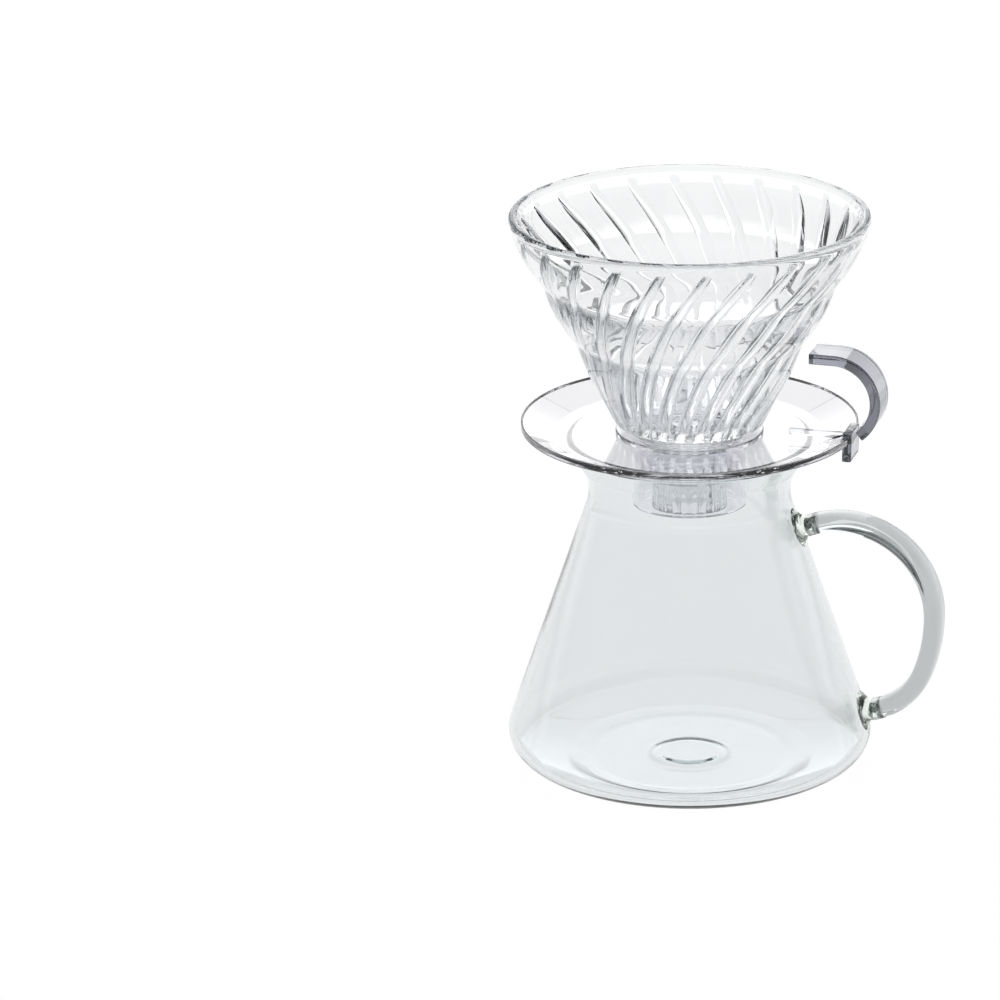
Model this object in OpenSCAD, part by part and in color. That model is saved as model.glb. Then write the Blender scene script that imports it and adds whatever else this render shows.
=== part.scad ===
// Glass pour over brewer: a ribbed glass cone in a clear saucer base, standing on its glass server.
// The origin is the centre of the server's foot on the table, +Z is up and both handles point along +X.

/* [Server] */
// Largest outside diameter of the server, just above its foot
server_d = 119.4; // [100:0.2:130]
// Height of the server, from the table to the top of its lip
server_h = 112.1; // [105:0.1:120]
// Outside diameter at the narrowest part of the neck
neck_d = 65.6; // [55:0.2:75]
// Outside diameter of the flared lip
lip_d = 80; // [76:0.2:86]
// Lean of the server's wall from the vertical, in degrees
wall_lean = 18.25; // [16:0.05:20]
// Thickness of the server's glass wall
server_wall = 2.2; // [1.6:0.1:3]
// Radius of the rounded heel, below the wall
heel_r = 8; // [5:0.5:12]
// Radius of the shallow bowl that joins the heel to the flat foot
bowl_r = 70; // [50:1:90]
// Outside diameter of the mark pushed up in the middle of the server's floor
punt_d = 28; // [20:1:36]

/* [Server handle] */
// Width of the glass strap, measured across the handle
strap_w = 10.5; // [7:0.5:14]
// Thickness of the glass strap
strap_t = 6.4; // [4:0.2:8]
// Distance from the server's axis to the middle of the strap at its furthest point
strap_reach = 81.9; // [78:0.1:86]
// Height of that furthest point above the table
strap_mid_h = 58.5; // [54:0.5:63]
// Radius of the strap's upper bend
strap_top_r = 30; // [28:0.5:32]
// Diameter of the glass blobs that fuse the strap to the wall
weld_d = 13; // [11:0.5:15]

/* [Dripper cone] */
// Outside diameter of the cone's rim
rim_d = 116; // [110:0.5:122]
// Height of the cone's rim above the table
rim_h = 188.3; // [182:0.1:195]
// Number of spiral ribs inside the cone
rib_count = 24; // [12:1:30]
// Width of one spiral rib
rib_w = 4; // [2.5:0.1:5]
// How far a rib stands in from the cone's inner wall
rib_h = 2.6; // [1:0.1:3.5]
// Turn of a rib for each millimetre that it climbs, in degrees
rib_twist = 0.68; // [0.3:0.01:0.9]
// Outside diameter of the nozzle under the cone
nozzle_d = 24; // [20:0.2:26]
// Diameter of the drip hole through the nozzle
drip_d = 19; // [14:0.2:20]

/* [Saucer base] */
// Outside diameter of the saucer
saucer_d = 109.2; // [100:0.2:115]
// Thickness of the clear saucer
saucer_t = 2.3; // [1.8:0.1:3]
// Diameter of the saucer's flat middle
flat_d = 84; // [80:0.5:90]
// Rise from the flat middle to the saucer's rim
saucer_rise = 2.8; // [1:0.1:6]
// Diameter of the collar's top edge, round the bottom of the cone
collar_d = 52.4; // [51:0.2:56]
// Outside diameter of the skirt that centres the saucer in a neck
skirt_d = 36.4; // [34:0.2:44]
// Length of that skirt, below the saucer
skirt_len = 20.9; // [16:0.1:24]

/* [Dripper handle] */
// Width of the hooked handle
hook_w = 13; // [9:0.5:16]
// Thickness of the hooked handle
hook_t = 3.4; // [2.4:0.1:4]
// Outside radius of the hook's bend
hook_r = 15.6; // [13:0.1:18]

/* [Seal and lock ring] */
// Height of the lock ring
lock_h = 8; // [6:0.5:10]
// Thickness of the silicone seal
seal_t = 2.2; // [1.5:0.1:3]
// Radial clearance between the glass nozzle and the pieces round it
running_gap = 0.3; // [0.2:0.05:0.5]

/* [Hidden] */
$fn = 96;
arc_steps = 10;
glass = [0.82, 0.87, 0.88, 0.35];
green_glass = [0.75, 0.86, 0.78, 0.5];
clear_resin = [0.9, 0.93, 0.95, 0.35];
silicone = [0.93, 0.94, 0.94, 0.6];

// Levels shared by the stacked pieces
seat_gap = 0.3;
plate_z = server_h + seat_gap;
plate_top = plate_z + saucer_t;
nozzle_end = plate_z - skirt_len - 0.5;

// Server: a bowl and a heel join the foot to the wall, and the neck's bend joins the wall to the flared lip
neck_r = neck_d / 2;
neck_bend_r = 15;
neck_z = server_h - 16.9;
lip_turn = 147;
bowl_turn = -68;
heel_x = server_d / 2 - heel_r;
foot_r = heel_x - (bowl_r - heel_r) * cos(bowl_turn);
heel_z = bowl_r + (bowl_r - heel_r) * sin(bowl_turn);
punt_r = punt_d / 2;
punt_lift = 1.2;

// Server handle: centres and ends of its bends, each tangent to the one above it
strap_sides = 20;
long_bend_r = 56;
long_bend_a = -20;
low_bend_r = 24;
low_bend_a = -75;
top_end_a = 117;
top_x = strap_reach - strap_top_r;
long_x = strap_reach - long_bend_r;
low_x = long_x + (long_bend_r - low_bend_r) * cos(long_bend_a);
low_z = strap_mid_h + (long_bend_r - low_bend_r) * sin(long_bend_a);
low_end = [low_x + low_bend_r * cos(low_bend_a), low_z + low_bend_r * sin(low_bend_a)];
top_end = [top_x + strap_top_r * cos(top_end_a), strap_mid_h + strap_top_r * sin(top_end_a)];

// Cone: its outside rises in three bulging tiers, each [start and end drop below the rim, start and end radius,
// bulge], and its inside is nearly straight
cone_foot_z = plate_top + 0.25;
cone_r = rim_d / 2;
nozzle_r = nozzle_d / 2;
cone_base_z = rim_h - 69.3;
cone_low_r = cone_r * 0.42;
tiers = [
    [59.2, 42.6, cone_r * 0.51, cone_r * 0.633, 0.5],
    [41.1, 23.6, cone_r * 0.645, cone_r * 0.81, 1.4],
    [21.7, 1.8, cone_r * 0.826, cone_r, 1.5]
];
tier_steps = 5;
cone_inside = [
    [cone_low_r - 6.8, cone_base_z], [cone_r - 7.8, rim_h - 13.5], [cone_r - 5.6, rim_h - 9.4],
    [cone_r - 4, rim_h - 5.6], [cone_r - 3.1, rim_h - 1.8]
];
rib_low_z = rim_h - 68.5;
rib_top_z = rim_h - 3.8;
rib_phase = 6.2;
rib_steps = 13;

// Hook: the centre of its bend, and the end of the free tip
hook_x = saucer_d / 2 - 5.8;
hook_z = plate_top + 15.8;
hook_tip_x = hook_x - 7.8;
root_angle = -52;

// Points on an arc about [x, z], from angle a to angle b
function arc(x, z, r, a, b, n = arc_steps) =
    [for (i = [0:n]) [x + r * cos(a + (b - a) * i / n), z + r * sin(a + (b - a) * i / n)]];

// One tier of the cone's outside: a straight line between its ends, with a bulge
function tier(t) = [
    for (i = [0:tier_steps])
    let (k = i / tier_steps)
    [t[2] + (t[3] - t[2]) * k + t[4] * sin(180 * k), rim_h - t[0] + (t[0] - t[1]) * k]
];

// Inside radius of the cone at height z
function cone_in(z) = lookup(z, [for (p = cone_inside) [p[1], p[0]]]);

// Everything inside the server's outside surface
module server_outer() {
    lip_r = server_wall / 2;
    rotate_extrude()
    polygon(concat(
        [[0, punt_lift], [punt_r - 2, punt_lift], [punt_r, 0]],
        arc(foot_r, bowl_r, bowl_r, -90, bowl_turn),
        arc(heel_x, heel_z, heel_r, bowl_turn, wall_lean),
        arc(neck_r + neck_bend_r, neck_z, neck_bend_r, 180 + wall_lean, lip_turn),
        arc(lip_d / 2 - lip_r, server_h - lip_r, lip_r, lip_turn - 180, 90, 6),
        [[lip_d / 2 - 1.5, server_h], [0, server_h]]
    ));
}

// The space inside the server
module server_inner() {
    rotate_extrude()
    polygon(concat(
        [[0, server_wall + punt_lift], [punt_r - 2, server_wall + punt_lift], [punt_r, server_wall]],
        arc(foot_r, bowl_r, bowl_r - server_wall, -90, bowl_turn),
        arc(heel_x, heel_z, heel_r - server_wall, bowl_turn, wall_lean),
        arc(neck_r + neck_bend_r, neck_z, neck_bend_r + server_wall, 180 + wall_lean, lip_turn),
        [[lip_d / 2 - 1.6, server_h + 1], [0, server_h + 1]]
    ));
}

module server_body() {
    color(glass)
    difference() {
        server_outer();
        server_inner();
    }
}

// Stations [x, z, angle] along a bend of the strap, where angle points away from the bend's centre
function bend(x, z, r, a, b, n) =
    [for (i = [0:n]) let (t = a + (b - a) * i / n) [x + r * cos(t), z + r * sin(t), t]];

// The strap runs from the upper weld, over its top bend, down two tangent bends to the lower weld
strap_line = concat(
    bend(top_x, strap_mid_h, strap_top_r, top_end_a, 0, 20),
    bend(long_x, strap_mid_h, long_bend_r, -3, long_bend_a, 5),
    bend(low_x, low_z, low_bend_r, long_bend_a - 5, low_bend_a, 9),
    [[low_end[0] + 4 * sin(low_bend_a), low_end[1] - 4 * cos(low_bend_a), low_bend_a]]
);

// An oval glass strap swept along its line, one ring of points at each station
module server_handle() {
    last = len(strap_line) - 1;
    points = [
        for (s = strap_line, k = [0:strap_sides - 1])
        let (q = 360 * k / strap_sides, out = strap_t / 2 * cos(q))
        [s[0] + out * cos(s[2]), strap_w / 2 * sin(q), s[1] + out * sin(s[2])]
    ];
    sides = [
        for (i = [0:last - 1], k = [0:strap_sides - 1])
        let (a = strap_sides * i + k, b = strap_sides * i + (k + 1) % strap_sides)
        each [[a, b, b + strap_sides], [a, b + strap_sides, a + strap_sides]]
    ];
    near = [for (k = [strap_sides - 1:-1:0]) k];
    far = [for (k = [0:strap_sides - 1]) strap_sides * last + k];
    color(glass)
    polyhedron(points, concat([near], sides, [far]));
}

// A fused blob of glass on the server's wall
module weld(x, z) {
    color(green_glass)
    difference() {
        translate([x, 0, z])
        sphere(d = weld_d);
        server_outer();
    }
}

module upper_handle_weld() {
    weld(top_end[0] - 3.4, top_end[1] - 1);
}

module lower_handle_weld() {
    weld(low_end[0] - 5.5, low_end[1] - 1.5);
}

// Cone, shoulder and nozzle as one turned shell
module cone_shell() {
    last = len(cone_inside) - 1;
    rotate_extrude()
    polygon(concat(
        [[drip_d / 2, nozzle_end], [nozzle_r, nozzle_end], [nozzle_r, cone_foot_z + 0.6]],
        [[nozzle_r + 1.2, cone_foot_z], [cone_r * 0.31, cone_foot_z + 0.9], [cone_r * 0.375, cone_foot_z + 2.5]],
        [[cone_low_r, cone_base_z]],
        [for (t = tiers) each tier(t)],
        arc(cone_r - 1.3, rim_h - 1.3, 1.3, 0, 180, 8),
        [for (i = [last:-1:0]) cone_inside[i]],
        [[cone_low_r - 7, cone_foot_z + 3.4], [drip_d / 2, cone_foot_z + 3]]
    ));
}

// One spiral rib: five corners at each level, half sunk into the wall
module rib(start) {
    levels = [for (i = [0:rib_steps]) rib_low_z + (rib_top_z - rib_low_z) * i / rib_steps];
    points = [
        for (i = [0:rib_steps])
        let (
            z = levels[i],
            wall_r = cone_in(z),
            h = rib_h * (i == rib_steps ? 0.1 : i == 0 ? 0.4 : 1),
            w = min(rib_w, 2 * PI * wall_r / rib_count * 0.8) * (i == rib_steps ? 0.4 : 1) / 2,
            turn = start + rib_twist * (z - rib_top_z)
        )
        for (q = [[wall_r + 1, -w], [wall_r + 1, w], [wall_r - h * 0.6, w * 0.7], [wall_r - h, 0],
            [wall_r - h * 0.6, -w * 0.7]])
        [q[0] * cos(turn) - q[1] * sin(turn), q[0] * sin(turn) + q[1] * cos(turn), z]
    ];
    sides = [
        for (i = [0:rib_steps - 1], k = [0:4])
        let (a = 5 * i + k, b = 5 * i + (k + 1) % 5)
        each [[a, b + 5, b], [a, a + 5, b + 5]]
    ];
    top = 5 * rib_steps;
    polyhedron(points, concat([[0, 1, 2, 3, 4]], sides, [[for (k = [4:-1:0]) top + k]]));
}

module dripper_cone() {
    color(glass)
    union() {
        cone_shell();
        for (i = [0:rib_count - 1])
            rib(rib_phase + i * 360 / rib_count);
    }
}

// Saucer, collar and centring skirt as one turned piece
module saucer_shell() {
    rim_r = saucer_d / 2;
    flat_r = flat_d / 2;
    collar_r = collar_d / 2;
    skirt_r = skirt_d / 2;
    bore_r = nozzle_r + running_gap;
    edge_r = 0.5;
    rotate_extrude()
    polygon(concat(
        [[bore_r, plate_z], [skirt_r - 2, plate_z], [skirt_r - 2, plate_z - skirt_len]],
        [[skirt_r, plate_z - skirt_len], [skirt_r, plate_z], [flat_r + 1, plate_z]],
        arc(rim_r - edge_r, plate_z + saucer_rise + edge_r, edge_r, -80, 0, 3),
        arc(rim_r - edge_r, plate_top + saucer_rise - edge_r, edge_r, 0, 100, 3),
        [[flat_r, plate_top]],
        arc(collar_r + 1.8, plate_top + 1.2, 1.2, -90, -180, 4),
        [
            [collar_r + 0.6, cone_base_z - 0.4], [collar_r + 0.2, cone_base_z], [collar_r - 1.2, cone_base_z],
            [cone_r * 0.375 + 0.5, cone_foot_z + 2.2], [cone_r * 0.31 + 0.3, cone_foot_z + 0.5],
            [nozzle_r + 1.2, plate_top], [bore_r, plate_top]
        ]
    ));
}

// Thin web on the saucer that runs from the collar to the handle's root
module saucer_web() {
    translate([0, 0.7, 0])
    rotate([90, 0, 0])
    linear_extrude(1.4)
    polygon([
        [collar_d / 2 + 6, plate_top - 0.5], [saucer_d / 2 - 2, plate_top - 0.5],
        [saucer_d / 2 - 2, plate_top + saucer_rise - 0.2], [collar_d / 2 + 8, plate_top + saucer_rise - 0.2]
    ]);
}

module saucer_base() {
    color(clear_resin)
    union() {
        saucer_shell();
        saucer_web();
    }
}

// Hooked handle: side outline swept across its width, with a locating tab under the rim
module dripper_handle() {
    outer = arc(hook_x, hook_z, hook_r, root_angle, 90, 18);
    inner = arc(hook_x, hook_z, hook_r - hook_t, 90, root_angle, 18);
    tip = arc(hook_tip_x, hook_z + hook_r - hook_t / 2, hook_t / 2, 90, 270, 8);
    rim_x = saucer_d / 2 + 0.1;
    color(clear_resin)
    difference() {
        translate([0, hook_w / 2, 0])
        rotate([90, 0, 0])
        linear_extrude(hook_w)
        polygon(concat(
            outer, tip, inner,
            [
                [rim_x - 3.2, plate_top + saucer_rise + 1.6], [rim_x - 3.2, plate_z + 1],
                [rim_x - 2.6, plate_z - 1.8], [rim_x - 0.6, plate_z - 1.8], [rim_x + 0.4, plate_z + 0.5]
            ]
        ));
        saucer_base();
    }
}

module cone_seal() {
    color(silicone)
    translate([0, 0, plate_z - seal_t])
    difference() {
        cylinder(d = skirt_d - 4, h = seal_t);
        translate([0, 0, -1])
        cylinder(r = nozzle_r + running_gap / 3, h = seal_t + 2);
    }
}

// Gland nut inside the skirt, with notches in its lower edge
module lock_ring() {
    color(clear_resin)
    translate([0, 0, plate_z - seal_t - lock_h])
    difference() {
        cylinder(r = skirt_d / 2 - 2 - running_gap, h = lock_h);
        translate([0, 0, -1])
        cylinder(r = nozzle_r + running_gap, h = lock_h + 2);
        for (i = [0:5])
            rotate([0, 0, 60 * i])
            translate([nozzle_r, -1.5, -1])
            cube([6, 3, 3.5]);
    }
}

server_body();
server_handle();
upper_handle_weld();
lower_handle_weld();
dripper_cone();
saucer_base();
dripper_handle();
cone_seal();
lock_ring();
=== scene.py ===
"""Looks of the glass pour over brewer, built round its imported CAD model. Sizes below are in millimetres."""
import math

import bmesh
import bpy
import numpy as np
from mathutils import Matrix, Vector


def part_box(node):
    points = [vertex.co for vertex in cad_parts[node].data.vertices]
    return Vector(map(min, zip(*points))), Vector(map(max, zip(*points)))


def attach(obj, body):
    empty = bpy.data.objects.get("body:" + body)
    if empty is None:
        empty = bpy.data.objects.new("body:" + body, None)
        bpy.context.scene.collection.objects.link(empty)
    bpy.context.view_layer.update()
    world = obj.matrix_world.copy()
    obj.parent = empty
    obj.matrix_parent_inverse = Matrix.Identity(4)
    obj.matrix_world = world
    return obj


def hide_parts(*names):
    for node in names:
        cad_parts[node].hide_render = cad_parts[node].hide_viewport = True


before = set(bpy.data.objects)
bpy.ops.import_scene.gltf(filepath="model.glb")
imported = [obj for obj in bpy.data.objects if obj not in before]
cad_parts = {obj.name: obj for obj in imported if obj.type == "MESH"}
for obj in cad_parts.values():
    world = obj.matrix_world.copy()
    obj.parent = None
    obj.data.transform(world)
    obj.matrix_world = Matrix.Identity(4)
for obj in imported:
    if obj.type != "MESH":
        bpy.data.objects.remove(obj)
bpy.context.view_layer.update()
MM = 0.001


def far_corner(node):
    """The highest corner of a CAD node's box, in millimetres."""
    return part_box(node)[1] / MM


# Sizes taken from the CAD boxes
SERVER_R, _, SERVER_H = far_corner("server_body")
RIM_R, _, RIM_H = far_corner("dripper_cone")
SAUCER_R, _, SAUCER_TOP = far_corner("saucer_base")
STRAP_OUT, STRAP_HALF_W, _ = far_corner("server_handle")
HOOK_OUT, HOOK_HALF_W, HOOK_TOP = far_corner("dripper_handle")
PLATE_Z = far_corner("cone_seal").z
NOZZLE_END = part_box("dripper_cone")[0].z / MM

# Server: a flat foot, a bowl, a round heel, a leaning wall, a neck and a lip. Turns are in degrees.
SERVER_WALL = 2.2
NECK_R = 32.8
NECK_BEND_R = 15
NECK_DROP = 16.9
LIP_R = 40
LIP_TURN = 147
WALL_LEAN = 18.25
HEEL_R = 8
BOWL_R = 70
BOWL_TURN = -68
FLOOR_R = 32.5
FLOOR_T = 2.6
# The raised round mark in the middle of the floor
MARK_OUT_R = 14.5
MARK_IN_R = 9.5
MARK_H = 0.9

# Server handle, bent in three arcs. The powers square off its section's thickness and width.
STRAP_T = 6.4
STRAP_SQUARENESS = (0.7, 0.8)
STRAP_MID_Z = SERVER_H - 53.6
STRAP_TOP_BEND = 30
STRAP_LONG_BEND = 56
STRAP_LOW_BEND = 24
STRAP_START = 113
STRAP_LOW_START = -20
STRAP_END = -75
# The glass gathered round the handle's ends, and the way that it runs to the wall
WELD_L = 6.5
WELD_OVERLAP = 3
WELD_COVER = 1.03
WELD_WAIST = 0.25
WELD_SWELL = 0.5
WELD_GROWTH = 1.1
WELD_LUMPS = 0.04
UPPER_WELD_WAY = (-0.94, 0, -0.34)
LOWER_WELD_WAY = (-0.98, 0, -0.2)

# Cone. The twist is in degrees for each millimetre of height. Half a rib takes at most the share of a pitch.
RIBS = 24
RIB_HALF_W = 2.4
RIB_H = 2.4
RIB_SQUARENESS = 2.3
RIB_TWIST = 0.68
RIB_PHASE = 6.2
RIB_TAPER = 8
RIB_SHARE = 0.34
RIB_POINTS = 16
RIB_TOP = RIM_H - 3.8
RIB_LOW = RIM_H - 68.5
CONE_WALL = 3
LOW_WALL = 3.6
LOW_R = 24.4
LOW_DROP = 69.3
# Each bulging tier of the outside: start and end drop below the rim, start and end radius, bulge
TIERS = [(59.2, 42.6, 29.6, 36.7, 0.5), (41.1, 23.6, 37.4, 47.0, 1.4), (21.7, 1.8, 47.9, RIM_R, 1.5)]
# The inside, going up: how far in from the rim's radius, and the drop below the rim
INSIDE = [(24.4, 42.6), (7.6, 13.5), (5.4, 9.4), (3.9, 5.6), (3.1, 1.8)]
RIM_EDGE_OUT = 1.3
RIM_EDGE_IN = 1.5
NOZZLE_R = 12
NOZZLE_EDGE = 0.6
FLUTE_DEPTH = 0.7
DRIP_R = 9.5

# Saucer base
SAUCER_T = 2.3
PLATE_TOP = PLATE_Z + SAUCER_T
SAUCER_EDGE = 0.35
FLAT_R = 42
COLLAR_R = 23.4
COLLAR_H = 1.4
COLLAR_EDGE = 0.5
SKIRT_R = 18.2
SKIRT_T = 1.6
SKIRT_LEN = 20.9
RUNNING_GAP = 0.3
# The seal and the lock ring fit in this radius, inside the skirt
LOCK_SPACE_R = SKIRT_R - 2

# Where the cone sits in the saucer
CONE_FOOT_Z = PLATE_TOP + 0.25
CONE_FOOT_R = RIM_R * 0.31
SHOULDER_R = RIM_R * 0.375

# Hooked handle
HOOK_T = 3.4
HOOK_R = 15.6
HOOK_START = -50
HOOK_FLAT = 7.8
HOOK_EDGE = 0.7
BEAD_STATIONS = 3

# Lock ring
NOTCHES = 6
NOTCH_DEPTH = 3.0
NOTCH_NARROWNESS = 0.82

# A straight run of an outline longer than LONG_RUN gets a point as close as BRACE to each of its ends
LONG_RUN = 1.5
BRACE = 0.2

# Each glass or resin: surface tint, IOR, least and most roughness, scale and depth (m) of its slow waves,
# and the tint and density of its depth
LOOKS = {
    "clear_glass": ((0.94, 0.947, 0.952), 1.47, (0.0, 0.015), 45, 0.00012, (0.42, 0.5, 0.52), 56),
    "handle_glass": ((0.93, 0.94, 0.94), 1.47, (0.0, 0.02), 60, 0.0001, (0.42, 0.45, 0.46), 100),
    "weld_glass": ((0.95, 0.96, 0.94), 1.47, (0.0, 0.03), 260, 0.0003, (0.6, 0.75, 0.6), 30),
    "pressed_glass": ((0.95, 0.956, 0.96), 1.47, (0.0, 0.015), 70, 0.0001, (0.45, 0.5, 0.53), 14),
    "clear_resin": ((0.91, 0.91, 0.93), 1.53, (0.0, 0.02), 50, 0.00006, (0.5, 0.5, 0.6), 4),
    "inner_resin": ((0.97, 0.97, 0.98), 1.53, (0.0, 0.02), 50, 0.00006, (0.5, 0.5, 0.6), 2),
    "hook_resin": ((0.9, 0.9, 0.93), 1.53, (0.0, 0.02), 50, 0.00006, (0.42, 0.43, 0.48), 200),
    "silicone": ((0.93, 0.94, 0.94), 1.41, (0.25, 0.4), 200, 0.00005, (0.8, 0.8, 0.8), 60),
}

# Studio, in metres and degrees
VIEW_AZIMUTH = 15
CAMERA_PITCH = 19.55
CAMERA_YAW = 2.08
CAMERA_REACH = 1.601
CAMERA_HEIGHT = 0.6595
CAMERA_LENS = 187.8
# Brightness of the surroundings at each height, from the horizon (0) to straight up (1)
WORLD_LEVELS = [(0, 0.9), (0.15, 0.85), (0.36, 0.5), (0.5, 0.08), (1, 0.05)]
ARCH_R = 1.6
ARCH_WIDTH = 0.8
ARCH_DEPTH = 0.78
# Each panel of the arch: how far round it is from behind the object, and its brightness
ARCH_LIGHTS = [(22, 1.3), (50, 1.1), (78, 1.3), (106, 1.3), (134, 0.3)]
FLOOR_SIZE = 12
FLOOR_GAP = 0.0002
FLOOR_ALBEDO = 0.15
# The floor's glow, which is painted light, near the object and far from it, and the distances between which
# it changes
FLOOR_GLOW = (0.94, 1.4)
FLOOR_BRIGHTENS = (0.72, 0.82)
# How far from its middle line the strip of painted glow starts and ends to fade, and the share of the glow
# left beside it
FLOOR_STRIP = (0.28, 0.45)
FLOOR_SIDES = 0.8


# ---------------------------------------------------------------- shapes

def arc(x, z, r, start, end, count=12):
    """Points on an arc about (x, z), from one angle to another in degrees."""
    turns = np.radians(np.linspace(start, end, count + 1))
    return [(x + r * math.cos(a), z + r * math.sin(a)) for a in turns]


def smooth_line(points, count):
    """Evenly spaced points on a smooth curve through the given ones."""
    p = np.array(points, float)
    s = np.concatenate([[0], np.cumsum(np.linalg.norm(np.diff(p, axis=0), axis=1))])
    slope = np.gradient(p, s, axis=0)
    at = np.linspace(0, s[-1], count)
    i = np.clip(np.searchsorted(s, at, side="right") - 1, 0, len(s) - 2)
    h = (s[i + 1] - s[i])[:, None]
    t = (at - s[i])[:, None] / h
    start = (1 + 2 * t) * (1 - t) ** 2 * p[i] + t * (1 - t) ** 2 * h * slope[i]
    end = t ** 2 * (3 - 2 * t) * p[i + 1] - t ** 2 * (1 - t) * h * slope[i + 1]
    return start + end


def braced(points, closed=False):
    """The outline with a point close to both ends of each long straight run, so that it's shaded flat."""
    ends = points[1:] + points[:1] if closed else points[1:]
    result = []
    for start, end in zip(points, ends):
        result.append(start)
        a, b = np.array(start, float), np.array(end, float)
        run = np.linalg.norm(b - a)
        if run > LONG_RUN:
            step = (b - a) * (BRACE / run)
            result += [tuple(a + step), tuple(b - step)]
    return result if closed else result + [points[-1]]


def ring_mesh(name, rings, poles=None, sharp=40):
    """A closed mesh through rings of points in millimetres. Two poles close its ends, or the rings loop."""
    rings = np.asarray(rings, float)
    count, sides = rings.shape[:2]
    index = np.arange(count * sides).reshape(count, sides)
    side = np.roll(index, -1, axis=1)
    upper = np.roll(index, -1, axis=0)
    upper_side = np.roll(side, -1, axis=0)
    keep = count if poles is None else count - 1
    quads = np.stack([index, side, upper_side, upper], axis=-1)[:keep].reshape(-1, 4).tolist()
    points = rings.reshape(-1, 3)
    if poles is not None:
        first, last = len(points), len(points) + 1
        points = np.vstack([points, poles])
        quads += [[first, side[0][k], index[0][k]] for k in range(sides)]
        quads += [[last, index[-1][k], side[-1][k]] for k in range(sides)]
    return finished(name, points, quads, sharp)


def finished(name, points, faces, sharp):
    """A smooth shaded object with its faces turned outwards. Points are in millimetres."""
    mesh = bpy.data.meshes.new(name)
    mesh.from_pydata((np.asarray(points, float) * MM).tolist(), [], faces)
    edit = bmesh.new()
    edit.from_mesh(mesh)
    bmesh.ops.recalc_face_normals(edit, faces=edit.faces)
    edit.to_mesh(mesh)
    edit.free()
    mesh.shade_smooth()
    mesh.set_sharp_from_angle(angle=math.radians(sharp))
    piece = bpy.data.objects.new(name, mesh)
    bpy.context.scene.collection.objects.link(piece)
    return piece


def lathe(name, outline, steps=192, sharp=40):
    """The outline of (radius, height) points turned about +Z. It may start and end on the axis."""
    angle = np.linspace(0, 2 * math.pi, steps, endpoint=False)
    on_axis = outline[0][0] == 0
    body = braced(outline[1:-1] if on_axis else outline)
    rings = [np.stack([r * np.cos(angle), r * np.sin(angle), np.full(steps, z)], axis=1) for r, z in body]
    poles = [(0, 0, outline[0][1]), (0, 0, outline[-1][1])] if on_axis else None
    return ring_mesh(name, rings, poles, sharp)


def sweep(name, line, section, sharp=40):
    """Sections swept along stations (x, z, angle). section(i) gives points (outwards, sideways)."""
    rings = []
    for i, (x, z, angle) in enumerate(line):
        out = np.array([math.cos(math.radians(angle)), 0, math.sin(math.radians(angle))])
        rings.append([np.array([x, 0, z]) + p * out + np.array([0, q, 0]) for p, q in section(i)])
    poles = [np.mean(rings[0], axis=0), np.mean(rings[-1], axis=0)]
    return ring_mesh(name, rings, poles, sharp)


# ---------------------------------------------------------------- pieces

def server_body():
    """Blown glass server, from the foot up to the lip and down inside to the round mark in the floor."""
    heel_x = SERVER_R - HEEL_R
    reach = BOWL_R - HEEL_R
    foot_r = heel_x - reach * math.cos(math.radians(BOWL_TURN))
    heel_z = BOWL_R + reach * math.sin(math.radians(BOWL_TURN))
    neck_x = NECK_R + NECK_BEND_R
    neck_z = SERVER_H - NECK_DROP
    lip = SERVER_WALL / 2
    mark = [(r, MARK_H * fade(r, MARK_OUT_R, MARK_IN_R)) for r in np.linspace(0, MARK_OUT_R + 0.5, 32)]
    # Outside: foot, bowl, heel, neck and lip
    outline = mark + arc(foot_r, BOWL_R, BOWL_R, -90, BOWL_TURN, 30)
    outline += arc(heel_x, heel_z, HEEL_R, BOWL_TURN, WALL_LEAN, 24)
    outline += arc(neck_x, neck_z, NECK_BEND_R, 180 + WALL_LEAN, LIP_TURN, 20)
    outline += arc(LIP_R - lip, SERVER_H - lip, lip, LIP_TURN - 180, LIP_TURN, 12)
    # Inside: the same back down, then an easy run on to the flat floor
    outline += arc(neck_x, neck_z, NECK_BEND_R + SERVER_WALL, LIP_TURN, 180 + WALL_LEAN, 20)
    outline += arc(heel_x, heel_z, HEEL_R - SERVER_WALL, WALL_LEAN, BOWL_TURN, 24)
    outline += arc(foot_r, BOWL_R, BOWL_R - SERVER_WALL, BOWL_TURN, BOWL_TURN - 12, 16)
    outline += [(FLOOR_R + 2, FLOOR_T + 0.35), (FLOOR_R + 0.7, FLOOR_T + 0.12), (FLOOR_R - 1, FLOOR_T)]
    outline += [(r, FLOOR_T + z) for r, z in mark[::-1]]
    return lathe("server_glass", outline)


def strap_line():
    """Stations of the server's handle, from inside its upper weld to inside its lower one."""
    top_x = STRAP_OUT - STRAP_T / 2 - STRAP_TOP_BEND
    long_x = STRAP_OUT - STRAP_T / 2 - STRAP_LONG_BEND
    turn = math.radians(STRAP_LOW_START)
    low_x = long_x + (STRAP_LONG_BEND - STRAP_LOW_BEND) * math.cos(turn)
    low_z = STRAP_MID_Z + (STRAP_LONG_BEND - STRAP_LOW_BEND) * math.sin(turn)
    bends = [
        (top_x, STRAP_MID_Z, STRAP_TOP_BEND, np.linspace(STRAP_START, 0, 56)),
        (long_x, STRAP_MID_Z, STRAP_LONG_BEND, np.linspace(-1, STRAP_LOW_START, 12)),
        (low_x, low_z, STRAP_LOW_BEND, np.linspace(STRAP_LOW_START - 3, STRAP_END, 24)),
    ]
    stations = []
    for x, z, r, angles in bends:
        for a in angles:
            t = math.radians(a)
            stations.append((x + r * math.cos(t), z + r * math.sin(t), a))
    return stations


def bulged(value, power):
    """The value raised to a power, with its sign kept."""
    return math.copysign(abs(value) ** power, value)


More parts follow.
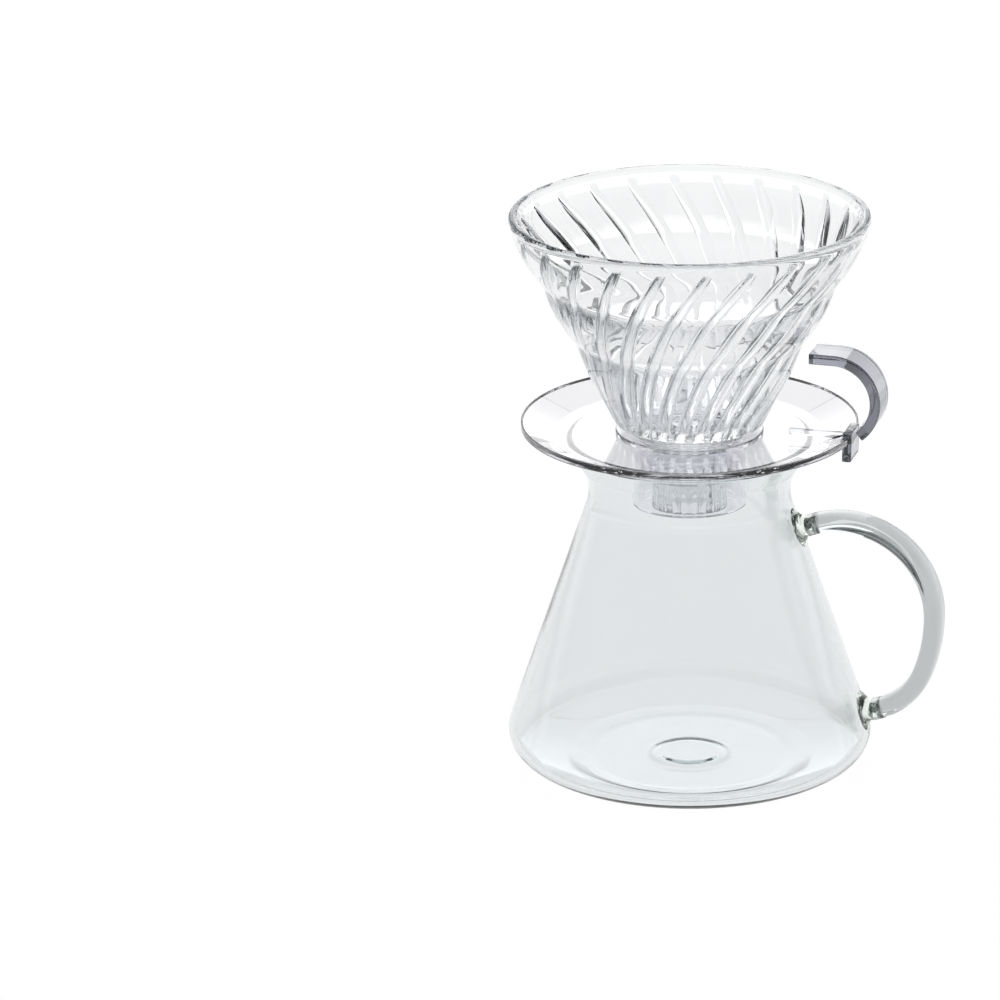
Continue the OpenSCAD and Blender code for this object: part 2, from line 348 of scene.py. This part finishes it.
def server_handle():
    """Flattened glass rod, a little fuller along its middle than at its edges."""
    sides = np.radians(np.arange(0, 360, 360 / 32))
    thick, wide = STRAP_SQUARENESS

    def section(i):
        return [
            (STRAP_T / 2 * bulged(math.cos(a), thick), STRAP_HALF_W * bulged(math.sin(a), wide))
            for a in sides
        ]
    return sweep("server_handle_glass", strap_line(), section)


def weld(name, end, inward):
    """Glass gathered round an end of the handle: a rounded start, a waist, and a flare at the wall."""
    x, z, angle = strap_line()[end]
    sides = np.radians(np.arange(0, 360, 360 / 40))
    rise = np.array([math.cos(math.radians(angle)), 0, math.sin(math.radians(angle))])
    along = np.array(inward, float)
    along /= np.linalg.norm(along)
    rings = []
    for t in np.linspace(0, 1, 19):
        flare = WELD_COVER - WELD_WAIST * math.sin(math.pi * t) + WELD_SWELL * t ** 5
        centre = np.array([x, 0, z]) + along * (t * WELD_L - WELD_OVERLAP)
        start = math.sqrt(max(1 - (1 - min(t / 0.12, 1)) ** 2, 0.03))
        lump = 1 + WELD_LUMPS * np.sin(3 * sides + 2 * t)
        half_t = (STRAP_T / 2 + WELD_GROWTH * t) * flare * start
        half_w = STRAP_HALF_W * (flare ** 0.35) * start
        rings.append([
            centre + rise * half_t * math.cos(a) * k + np.array([0, half_w * math.sin(a) * k, 0])
            for a, k in zip(sides, lump)
        ])
    return ring_mesh(name, rings, [np.mean(rings[0], axis=0), np.mean(rings[-1], axis=0)], 50)


def cone_profile():
    """Outlines (radius, height) of the cone: its foot, its outside in bulging tiers, and its plain inside."""
    low = [(NOZZLE_R + 1.2, CONE_FOOT_Z), (CONE_FOOT_R, CONE_FOOT_Z + 0.9), (SHOULDER_R, CONE_FOOT_Z + 2.5)]
    outside = [(LOW_R, RIM_H - LOW_DROP)]
    for start, end, r_start, r_end, bulge in TIERS:
        for t in np.linspace(0, 1, 9):
            r = r_start + (r_end - r_start) * t + bulge * math.sin(math.pi * t)
            outside.append((r, RIM_H - start + (start - end) * t))
    inside = [(LOW_R - LOW_WALL, RIM_H - LOW_DROP)]
    inside += [(RIM_R - inset, RIM_H - drop) for inset, drop in INSIDE]
    return low, outside, inside


def fade(value, start, end):
    """0 at start and beyond it, 1 at end, with a smooth change between them."""
    t = np.clip((value - start) / (end - start), 0, 1)
    return t * t * (3 - 2 * t)


def cone_ring(r, z, inside):
    """One ring of the cone: its points follow the spiral ribs, which stand in from the inside wall."""
    pitch = 2 * math.pi / RIBS
    wall_r = r if inside else r - CONE_WALL
    top_round = np.clip((RIB_TOP - z) / RIB_TAPER, 0, 1)
    top_round = top_round * (2 - top_round)
    half = min(RIB_HALF_W / wall_r, pitch * RIB_SHARE) * (0.5 + 0.5 * top_round)
    # q runs from -1 to 1 over one pitch, and its middle half is the rib
    q = np.linspace(-1, 1, RIB_POINTS, endpoint=False)
    offset = np.where(
        np.abs(q) < 0.5, half * np.sin(math.pi * q),
        np.sign(q) * (half + (pitch / 2 - half) * (np.abs(q) - 0.5) * 2)
    )
    level = np.clip(z, RIB_LOW, RIB_TOP)
    turn = math.radians(RIB_PHASE + RIB_TWIST * (level - RIB_TOP))
    angle = np.concatenate([turn + k * pitch + offset for k in range(RIBS)])
    if inside:
        across = np.abs(np.sin(math.pi * q))
        in_rib = np.where(np.abs(q) < 0.5, (1 - across ** RIB_SQUARENESS) ** (1 / RIB_SQUARENESS), 0)
        dent = RIB_H * top_round * fade(z, RIB_LOW - 1, RIB_LOW + 3) * in_rib
    else:
        dent = FLUTE_DEPTH * fade(z, RIB_LOW - 3, RIB_LOW - 6) * (0.5 - 0.5 * np.cos(2 * math.pi * q))
    radius = r - np.tile(dent, RIBS)
    return np.stack([radius * np.cos(angle), radius * np.sin(angle), np.full(len(angle), z)], axis=1)


def dripper_cone():
    """Glass cone and nozzle in one closed surface: up the outside, over the lip, and down the inside."""
    low, outside, inside = cone_profile()
    nozzle_z = np.linspace(NOZZLE_END + NOZZLE_EDGE, CONE_FOOT_Z - 0.4, 10)
    outer = arc(NOZZLE_R - NOZZLE_EDGE, NOZZLE_END + NOZZLE_EDGE, NOZZLE_EDGE, -90, 0, 3)
    outer += [(NOZZLE_R, NOZZLE_END + NOZZLE_EDGE + BRACE)]
    outer += [(NOZZLE_R, z) for z in nozzle_z[1:]]
    outer += low
    outer += list(smooth_line(outside, 96))
    outer += arc(RIM_R - RIM_EDGE_OUT, RIM_H - RIM_EDGE_OUT, RIM_EDGE_OUT, 10, 90, 5)
    inner = arc(RIM_R - RIM_EDGE_IN, RIM_H - RIM_EDGE_IN, RIM_EDGE_IN, 100, 180, 5)
    inner += list(smooth_line(inside, 84)[::-1])
    inner += [(LOW_R - 7, CONE_FOOT_Z + 3.4), (DRIP_R + 1, CONE_FOOT_Z + 3.1), (DRIP_R, CONE_FOOT_Z + 2.4)]
    inner += [(DRIP_R, z) for z in nozzle_z[::-1]]
    inner += [(DRIP_R + 0.5, NOZZLE_END)]
    rings = [cone_ring(r, z, False) for r, z in outer] + [cone_ring(r, z, True) for r, z in inner]
    return ring_mesh("cone_glass", rings, None, 60)


def saucer_base():
    """Clear saucer with a collar round the cone, a skirt below, and a thin web out to the handle."""
    bore = NOZZLE_R + RUNNING_GAP
    edge = SAUCER_EDGE
    corner = COLLAR_EDGE
    rim_x = SAUCER_R - edge
    # Underside: the skirt, then the plate with its slightly raised rim
    outline = [(bore, PLATE_Z), (LOCK_SPACE_R, PLATE_Z), (SKIRT_R - SKIRT_T - 0.1, PLATE_Z - 1)]
    outline += arc(SKIRT_R - SKIRT_T / 2, PLATE_Z - SKIRT_LEN + SKIRT_T / 2, SKIRT_T / 2, 180, 360, 6)
    outline += [(SKIRT_R, PLATE_Z - 0.6), (SKIRT_R + 0.6, PLATE_Z)]
    outline += [(FLAT_R - 4, PLATE_Z), (FLAT_R + 1, PLATE_Z), (FLAT_R + 2, PLATE_Z + 0.1)]
    outline += arc(rim_x, SAUCER_TOP - SAUCER_T + edge, edge, -80, 0, 5)
    # Top: the rim, the flat, the collar, and the seat of the cone
    outline += arc(rim_x, SAUCER_TOP - edge, edge, 0, 100, 5)
    outline += [(FLAT_R + 1, PLATE_TOP + 0.1), (FLAT_R, PLATE_TOP), (COLLAR_R + 4, PLATE_TOP)]
    outline += [(COLLAR_R + 0.6, PLATE_TOP), (COLLAR_R + 0.6, PLATE_TOP + 0.2)]
    outline += arc(COLLAR_R + 0.1, PLATE_TOP + COLLAR_H - corner, corner, 0, 90, 4)
    outline += [(COLLAR_R - 2.4, PLATE_TOP + COLLAR_H), (CONE_FOOT_R + 0.3, CONE_FOOT_Z + 0.5)]
    outline += [(NOZZLE_R + 1.2, PLATE_TOP), (bore, PLATE_TOP)]
    saucer = lathe("saucer_clear", outline, sharp=35)
    web_z = SAUCER_TOP - 1.2
    web = rounded_bar("web", (COLLAR_R + 9.8, web_z), (SAUCER_R - 1.5, web_z), 0.7, 1.1, 0.3)
    return merged(saucer, web)


def merged(piece, extra):
    """The piece with another closed shell joined into it."""
    union = piece.modifiers.new("union", "BOOLEAN")
    union.operation = "UNION"
    union.solver = "EXACT"
    union.object = extra
    shape = bpy.data.meshes.new_from_object(piece.evaluated_get(bpy.context.evaluated_depsgraph_get()))
    piece.modifiers.clear()
    piece.data = shape
    bpy.data.objects.remove(extra)
    return piece


def rounded_bar(name, start, end, half_w, half_t, corner):
    """A straight bar between two points (x, z) in the handle's plane, with rounded long edges."""
    line = np.array([start, end], float)
    angle = math.degrees(math.atan2(*(line[1] - line[0])[::-1])) + 90
    section = rounded_section(half_w, half_t, corner)
    stations = [(*(line[0] + (line[1] - line[0]) * t), angle) for t in (0, 0.03, 0.5, 0.97, 1)]
    shrink = [0.8, 1, 1, 1, 0.8]
    return sweep(name, stations, lambda i: [(p * shrink[i], q * shrink[i]) for p, q in section])


def rounded_section(half_w, half_t, corner):
    """Points (outwards, sideways) of a rectangle with round corners."""
    quarter = [(half_t - corner, half_w - corner, 0), (-half_t + corner, half_w - corner, 90)]
    quarter += [(-half_t + corner, -half_w + corner, 180), (half_t - corner, -half_w + corner, 270)]
    return braced([p for px, py, a in quarter for p in arc(px, py, corner, a, a + 90, 4)], closed=True)


def hook_stations():
    """Stations of the hook, from its root up and over to the flat top."""
    x = HOOK_OUT - HOOK_R
    z = HOOK_TOP - HOOK_R
    middle = HOOK_R - HOOK_T / 2
    turns = [(a, math.radians(a)) for a in np.linspace(HOOK_START, 90, 60)]
    bend = [(x + middle * math.cos(t), z + middle * math.sin(t), a) for a, t in turns]
    flat = [(x - d, z + middle, 90) for d in np.linspace(0.6, HOOK_FLAT, 10)]
    return bend + flat


def dripper_handle():
    """Clear hook with rounded edges: a wide strip whose free end is a rounded bead."""
    stations = hook_stations()
    bead = len(stations) - 1 - BEAD_STATIONS

    def section(i):
        end = 1 if i < bead else 0.9 + 0.1 * math.sqrt(max(1 - ((i - bead) / 3.4) ** 2, 0.05))
        return rounded_section(HOOK_HALF_W * end, HOOK_T / 2, HOOK_EDGE)
    hook = sweep("hook_clear", stations, section, 35)
    tab_x = SAUCER_R - 1.0
    tab_top, tab_end = (tab_x, SAUCER_TOP + 1.5), (tab_x - 0.2, PLATE_Z - 1.8)
    tab = rounded_bar("tab", tab_top, tab_end, HOOK_HALF_W - 0.3, 1.5, 1.0)
    return merged(hook, tab)


def cone_seal():
    """Soft ring between the nozzle and the skirt."""
    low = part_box("cone_seal")[0].z / MM
    high = PLATE_Z - 0.05
    r_in, r_out = NOZZLE_R + 0.1, LOCK_SPACE_R - 0.1
    outline = [(r_in, low + 0.4), (r_in + 0.4, low), (r_out - 0.4, low), (r_out, low + 0.4)]
    outline += [(r_out, PLATE_Z - 0.4), (r_out - 0.4, high), (r_in + 0.4, high), (r_in, PLATE_Z - 0.4)]
    return lathe("seal_silicone", outline, 96)


def lock_ring():
    """Clear nut under the seal, with notches in its lower edge."""
    low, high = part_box("lock_ring")[0].z / MM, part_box("lock_ring")[1].z / MM - 0.05
    r_in, r_out = NOZZLE_R + RUNNING_GAP, LOCK_SPACE_R - RUNNING_GAP
    steps = 180
    angle = np.linspace(0, 2 * math.pi, steps, endpoint=False)
    top = np.full(steps, high)
    bottom = low + NOTCH_DEPTH * (np.cos(NOTCHES * angle) > NOTCH_NARROWNESS)
    corners = [(r_in, top), (r_in, bottom), (r_out, bottom), (r_out, top)]
    rings = [np.stack([r * np.cos(angle), r * np.sin(angle), z], axis=1) for r, z in corners]
    return ring_mesh("lock_ring_clear", rings, None, 35)


# ---------------------------------------------------------------- materials

def glass_material(name, tint, ior, rough, wave_scale, wave, depth_tint, density):
    """Clear glass or resin, tinted more where it's thicker, with fine changes of roughness and slow waves."""
    material = bpy.data.materials.new(name)
    material.use_nodes = True
    nodes, links = material.node_tree.nodes, material.node_tree.links
    shader = nodes["Principled BSDF"]
    shader.inputs["Base Color"].default_value = (*tint, 1)
    shader.inputs["IOR"].default_value = ior
    shader.inputs["Transmission Weight"].default_value = 1
    coords = nodes.new("ShaderNodeTexCoord")
    noise = nodes.new("ShaderNodeTexNoise")
    noise.inputs["Scale"].default_value = 90
    noise.inputs["Detail"].default_value = 3
    links.new(coords.outputs["Object"], noise.inputs["Vector"])
    spread = nodes.new("ShaderNodeMapRange")
    spread.inputs["To Min"].default_value = rough[0]
    spread.inputs["To Max"].default_value = rough[1]
    links.new(noise.outputs["Fac"], spread.inputs["Value"])
    links.new(spread.outputs["Result"], shader.inputs["Roughness"])
    waves = nodes.new("ShaderNodeTexNoise")
    waves.inputs["Scale"].default_value = wave_scale
    waves.inputs["Detail"].default_value = 1
    links.new(coords.outputs["Object"], waves.inputs["Vector"])
    bump = nodes.new("ShaderNodeBump")
    bump.inputs["Strength"].default_value = 1
    bump.inputs["Distance"].default_value = wave
    links.new(waves.outputs["Fac"], bump.inputs["Height"])
    links.new(bump.outputs["Normal"], shader.inputs["Normal"])
    absorb = nodes.new("ShaderNodeVolumeAbsorption")
    absorb.inputs["Color"].default_value = (*depth_tint, 1)
    absorb.inputs["Density"].default_value = density
    links.new(absorb.outputs["Volume"], nodes["Material Output"].inputs["Volume"])
    return material


def eased(nodes, links, value, spans, levels):
    """A smooth change of a value from one level to another."""
    change = nodes.new("ShaderNodeMapRange")
    change.interpolation_type = "SMOOTHSTEP"
    change.inputs["From Min"].default_value, change.inputs["From Max"].default_value = spans
    change.inputs["To Min"].default_value, change.inputs["To Max"].default_value = levels
    links.new(value, change.inputs["Value"])
    return change.outputs["Result"]


def floor_material():
    """Pale floor whose glow is painted light: a brighter strip of glow runs away behind the object, the glow
    is brighter further out, and near the object it glows evenly, so little shade shows under it.
    """
    material = bpy.data.materials.new("painted_glow_floor")
    material.use_nodes = True
    nodes, links = material.node_tree.nodes, material.node_tree.links
    shader = nodes["Principled BSDF"]
    shader.inputs["Base Color"].default_value = (FLOOR_ALBEDO, FLOOR_ALBEDO, FLOOR_ALBEDO, 1)
    shader.inputs["Roughness"].default_value = 1
    shader.inputs["Specular IOR Level"].default_value = 0
    shader.inputs["Emission Color"].default_value = (1, 1, 1, 1)
    coords = nodes.new("ShaderNodeTexCoord")
    reach = nodes.new("ShaderNodeVectorMath")
    reach.operation = "LENGTH"
    links.new(coords.outputs["Object"], reach.inputs[0])
    split = nodes.new("ShaderNodeSeparateXYZ")
    links.new(coords.outputs["Object"], split.inputs["Vector"])
    side = nodes.new("ShaderNodeMath")
    side.operation = "ABSOLUTE"
    links.new(split.outputs["X"], side.inputs[0])
    glow = nodes.new("ShaderNodeMath")
    glow.operation = "MULTIPLY"
    links.new(eased(nodes, links, reach.outputs["Value"], FLOOR_BRIGHTENS, FLOOR_GLOW), glow.inputs[0])
    links.new(eased(nodes, links, side.outputs["Value"], FLOOR_STRIP, (1, FLOOR_SIDES)), glow.inputs[1])
    links.new(glow.outputs["Value"], shader.inputs["Emission Strength"])
    return material


# ---------------------------------------------------------------- studio

def studio_floor():
    """Large floor at the foot's level, glowing with painted light."""
    bpy.ops.mesh.primitive_plane_add(size=FLOOR_SIZE, location=(0, 0, -FLOOR_GAP))
    floor = bpy.context.object
    floor.name = "studio_floor"
    floor.rotation_euler.z = math.radians(VIEW_AZIMUTH)
    floor.data.materials.append(floor_material())


def studio_world():
    """Pale near the horizon and darker overhead, the same all the way round."""
    world = bpy.data.worlds.new("studio")
    bpy.context.scene.world = world
    world.use_nodes = True
    nodes, links = world.node_tree.nodes, world.node_tree.links
    coords = nodes.new("ShaderNodeTexCoord")
    split = nodes.new("ShaderNodeSeparateXYZ")
    ramp = nodes.new("ShaderNodeValToRGB")
    links.new(coords.outputs["Generated"], split.inputs["Vector"])
    links.new(split.outputs["Z"], ramp.inputs["Fac"])
    links.new(ramp.outputs["Color"], nodes["Background"].inputs["Color"])
    marks = ramp.color_ramp.elements
    while len(marks) < len(WORLD_LEVELS):
        marks.new(0.5)
    for mark, (position, level) in zip(marks, WORLD_LEVELS):
        mark.position = position
        mark.color = (level, level, level, 1)


def light_arch():
    """Soft panels on an arch over the object, from behind it to above the camera."""
    across = math.radians(VIEW_AZIMUTH)
    for turn, level in ARCH_LIGHTS:
        light = bpy.data.lights.new(f"arch_{turn}", "AREA")
        light.shape = "RECTANGLE"
        light.size = ARCH_WIDTH
        light.size_y = ARCH_DEPTH
        light.energy = level * math.pi * light.size * light.size_y
        lamp = bpy.data.objects.new(light.name, light)
        bpy.context.scene.collection.objects.link(lamp)
        back = ARCH_R * math.cos(math.radians(turn))
        height = ARCH_R * math.sin(math.radians(turn))
        lamp.location = (-back * math.sin(across), back * math.cos(across), height)
        lamp.rotation_euler = (math.radians(turn - 90), 0, across)


def studio_camera():
    """Long lens at the front, a little round towards the handles and looking down."""
    data = bpy.data.cameras.new("camera")
    data.lens = CAMERA_LENS
    data.sensor_width = 36
    camera = bpy.data.objects.new("camera", data)
    bpy.context.scene.collection.objects.link(camera)
    bpy.context.scene.camera = camera
    across = math.radians(VIEW_AZIMUTH)
    turn = Matrix.Rotation(across, 4, "Z") @ Matrix.Rotation(math.radians(90 - CAMERA_PITCH), 4, "X")
    turn = turn @ Matrix.Rotation(math.radians(CAMERA_YAW), 4, "Y")
    place_x, place_y = CAMERA_REACH * math.sin(across), -CAMERA_REACH * math.cos(across)
    camera.matrix_world = Matrix.Translation((place_x, place_y, CAMERA_HEIGHT)) @ turn


# ---------------------------------------------------------------- putting it together

def place(piece, body, slot, material, *nodes):
    """The piece rides on a body, shows a material and stands for its CAD nodes."""
    piece.data.materials.append(material)
    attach(piece, body)
    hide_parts(*nodes)


def build_object():
    """Every piece with its material, in place of its CAD node."""
    looks = {name: glass_material(name, *look) for name, look in LOOKS.items()}
    fused = looks["weld_glass"]
    place(server_body(), "server", "clear_glass", looks["clear_glass"], "server_body")
    place(server_handle(), "server", "clear_glass", looks["handle_glass"], "server_handle")
    place(weld("upper_weld_glass", 0, UPPER_WELD_WAY), "server", "weld_glass", fused, "upper_handle_weld")
    place(weld("lower_weld_glass", -1, LOWER_WELD_WAY), "server", "weld_glass", fused, "lower_handle_weld")
    place(dripper_cone(), "cone", "clear_glass", looks["pressed_glass"], "dripper_cone")
    place(saucer_base(), "base", "clear_resin", looks["clear_resin"], "saucer_base")
    place(dripper_handle(), "base", "clear_resin", looks["hook_resin"], "dripper_handle")
    place(cone_seal(), "base", "silicone", looks["silicone"], "cone_seal")
    place(lock_ring(), "lock", "clear_resin", looks["inner_resin"], "lock_ring")


def build_studio():
    """Floor, light and camera, with enough bounces for clear glass behind clear glass."""
    studio_floor()
    studio_world()
    studio_camera()
    light_arch()
    scene = bpy.context.scene
    scene.view_settings.view_transform = "Standard"
    scene.cycles.max_bounces = 32
    scene.cycles.transmission_bounces = 28
    scene.cycles.glossy_bounces = 12
    scene.cycles.transparent_max_bounces = 16
    scene.cycles.blur_glossy = 0


build_object()
build_studio()
